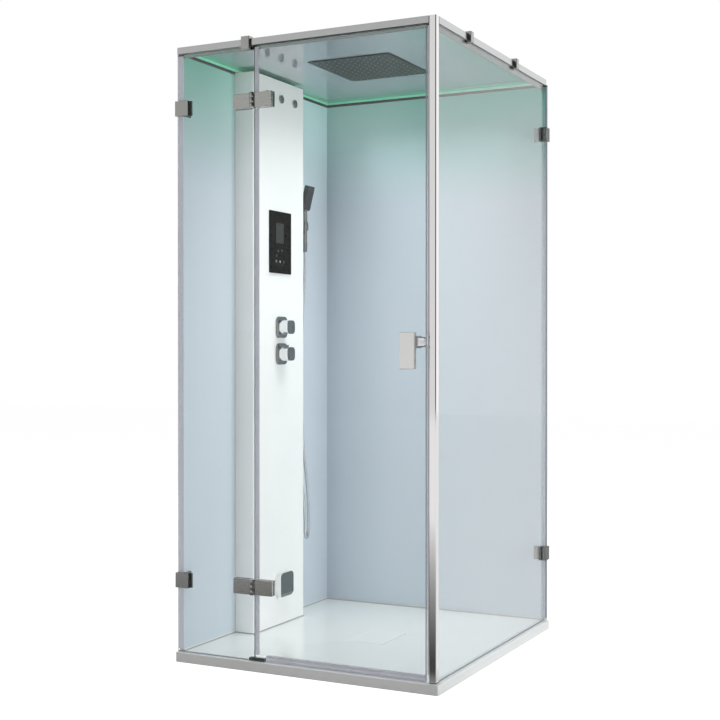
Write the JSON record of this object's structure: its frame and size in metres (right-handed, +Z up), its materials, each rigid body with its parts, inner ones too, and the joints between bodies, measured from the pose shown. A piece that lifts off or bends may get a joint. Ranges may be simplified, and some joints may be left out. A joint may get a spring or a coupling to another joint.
{
  "type": "steam shower cabin",
  "caption": "Glass steam shower cabin with a hinged door, rain head, mixer column with body jets, steam outlet and hand shower on a low tray.",
  "frame": {"origin": "middle of the tray's underside, on the floor", "axes": "+Z up, +X to the right along the front with the door, +Y to the back"},
  "size_m": [1.013, 1.15, 2.1591],
  "materials": {
    "tray": "moulded acrylic, glossy white",
    "waste_flange": "brushed",
    "drain_cover": "glossy white",
    "left_wall_panel": "back-painted, pale blue grey",
    "back_wall_panel": "back-painted, pale blue grey",
    "wall_boards": "grey backing board",
    "wall_edge_trims": "satin anodised",
    "rubber_gaskets": "dark grey",
    "front_fixed_glass": "clear, polished edges",
    "right_fixed_glass": "clear, polished edges",
    "glass_foot_seals": "translucent seal",
    "corner_post": "polished",
    "corner_post_foot": "dark grey",
    "top_rails": "polished anodised",
    "roof_panel": "glossy, mirrors underneath",
    "led_strips": "green light strip",
    "rain_head_body": "brushed",
    "rain_head_plate": "brushed",
    "rain_nozzle_mat": "silicone",
    "rail_clips": "brushed nickel",
    "floor_clamp": "brushed nickel",
    "wall_clamp_outer": "brushed nickel",
    "inner_clamp_plates": "brushed nickel",
    "clamp_screws": "stainless",
    "post_magnet_strip": "dark grey",
    "hinge_fixed_leaves": "brushed nickel",
    "hinge_pins": "stainless",
    "column_shell": "glossy white",
    "column_back_plate": "white",
    "control_glass": "black printed glass",
    "control_display": "display, faintly lit",
    "control_box": "black",
    "jet_flanges": "polished",
    "jet_nozzle_left": "dark grey",
    "jet_nozzle_middle": "dark grey",
    "jet_nozzle_right": "dark grey",
    "mixer_escutcheons": "polished",
    "diverter_knob": "polished",
    "temperature_knob": "polished",
    "stop_button": "dark chrome",
    "mixer_valve": "cast",
    "steam_outlet_base": "polished",
    "steam_outlet_hood": "glossy white",
    "steam_generator": "grey",
    "cable_gland": "black nylon",
    "supply_pipes": "drawn pipe",
    "overhead_pipe": "polished",
    "hose_outlet": "polished",
    "shower_holder": "polished",
    "hand_shower": "dark chrome",
    "hand_nozzle_face": "dark grey",
    "hose_nut": "dark chrome",
    "shower_hose": "wound metal hose",
    "door_glass": "clear, polished edges",
    "hinge_door_plates": "brushed nickel",
    "door_screws": "stainless",
    "door_seals": "translucent seal",
    "handle_plate": "satin",
    "handle_standoff": "polished",
    "handle_inner_knob": "polished"
  },
  "bodies": {
    "cabin": {"tray": "tray", "waste_flange": "waste_flange", "left_wall_panel": "left_wall_panel", "back_wall_panel": "back_wall_panel", "wall_boards": "wall_boards", "wall_edge_trims": "wall_edge_trims", "rubber_gaskets": "rubber_gaskets", "front_fixed_glass": "front_fixed_glass", "right_fixed_glass": "right_fixed_glass", "glass_foot_seals": "glass_foot_seals", "corner_post": "corner_post", "corner_post_foot": "corner_post_foot", "top_rails": "top_rails", "roof_panel": "roof_panel", "led_strips": "led_strips", "rain_head_body": "rain_head_body", "rain_head_plate": "rain_head_plate", "rain_nozzle_mat": "rain_nozzle_mat", "rail_clips": "rail_clips", "floor_clamp": "floor_clamp", "wall_clamp_outer": "wall_clamp_outer", "inner_clamp_plates": "inner_clamp_plates", "clamp_screws": "clamp_screws", "post_magnet_strip": "post_magnet_strip", "hinge_fixed_leaves": "hinge_fixed_leaves", "hinge_pins": "hinge_pins", "column_shell": "column_shell", "column_back_plate": "column_back_plate", "control_glass": "control_glass", "control_display": "control_display", "control_box": "control_box", "jet_flanges": "jet_flanges", "mixer_escutcheons": "mixer_escutcheons", "mixer_valve": "mixer_valve", "steam_outlet_base": "steam_outlet_base", "steam_outlet_hood": "steam_outlet_hood", "steam_generator": "steam_generator", "cable_gland": "cable_gland", "supply_pipes": "supply_pipes", "overhead_pipe": "overhead_pipe", "hose_outlet": "hose_outlet", "shower_holder": "shower_holder", "shower_hose": "shower_hose"},
    "drain_cover": {"drain_cover": "drain_cover"},
    "jet_left": {"jet_nozzle_left": "jet_nozzle_left"},
    "jet_middle": {"jet_nozzle_middle": "jet_nozzle_middle"},
    "jet_right": {"jet_nozzle_right": "jet_nozzle_right"},
    "diverter_knob": {"diverter_knob": "diverter_knob"},
    "temperature_knob": {"temperature_knob": "temperature_knob"},
    "stop_button": {"stop_button": "stop_button"},
    "hand_shower": {"hand_shower": "hand_shower", "hand_nozzle_face": "hand_nozzle_face", "hose_nut": "hose_nut"},
    "door": {"door_glass": "door_glass", "hinge_door_plates": "hinge_door_plates", "door_screws": "door_screws", "door_seals": "door_seals", "handle_plate": "handle_plate", "handle_standoff": "handle_standoff", "handle_inner_knob": "handle_inner_knob"}
  },
  "joints": [
    {"name": "door_hinge", "type": "hinge", "parent": "cabin", "child": "door", "pos_m": [-0.188, -0.545, 1.112], "axis": [0, 0, -1], "range_deg": [0, 100]},
    {"name": "drain_cover_lift", "type": "slide", "parent": "cabin", "child": "drain_cover", "axis": [0, 0, 1], "range_m": [0, 0.06]},
    {"name": "jet_left_tilt", "type": "hinge", "parent": "cabin", "child": "jet_left", "pos_m": [-0.402, -0.09, 2.057], "axis": [0, 1, 0], "range_deg": [-12, 12]},
    {"name": "jet_middle_tilt", "type": "hinge", "parent": "cabin", "child": "jet_middle", "pos_m": [-0.402, 0.014, 2.057], "axis": [0, 1, 0], "range_deg": [-12, 12]},
    {"name": "jet_right_tilt", "type": "hinge", "parent": "cabin", "child": "jet_right", "pos_m": [-0.402, 0.118, 2.057], "axis": [0, 1, 0], "range_deg": [-12, 12]},
    {"name": "diverter_turn", "type": "hinge", "parent": "cabin", "child": "diverter_knob", "pos_m": [-0.392, 0.012, 1.18], "axis": [1, 0, 0], "range_deg": [-90, 90]},
    {"name": "temperature_turn", "type": "hinge", "parent": "cabin", "child": "temperature_knob", "pos_m": [-0.392, 0.012, 1.0775], "axis": [1, 0, 0], "range_deg": [-120, 60]},
    {"name": "stop_button_press", "type": "slide", "parent": "temperature_knob", "child": "stop_button", "axis": [0, 0, -1], "range_m": [0, 0.002], "stiffness_N_per_m": 400, "springref_m": -0.001},
    {"name": "hand_shower_lift", "type": "slide", "parent": "cabin", "child": "hand_shower", "axis": [0, 0, 1], "range_m": [0, 0.04]}
  ]
}
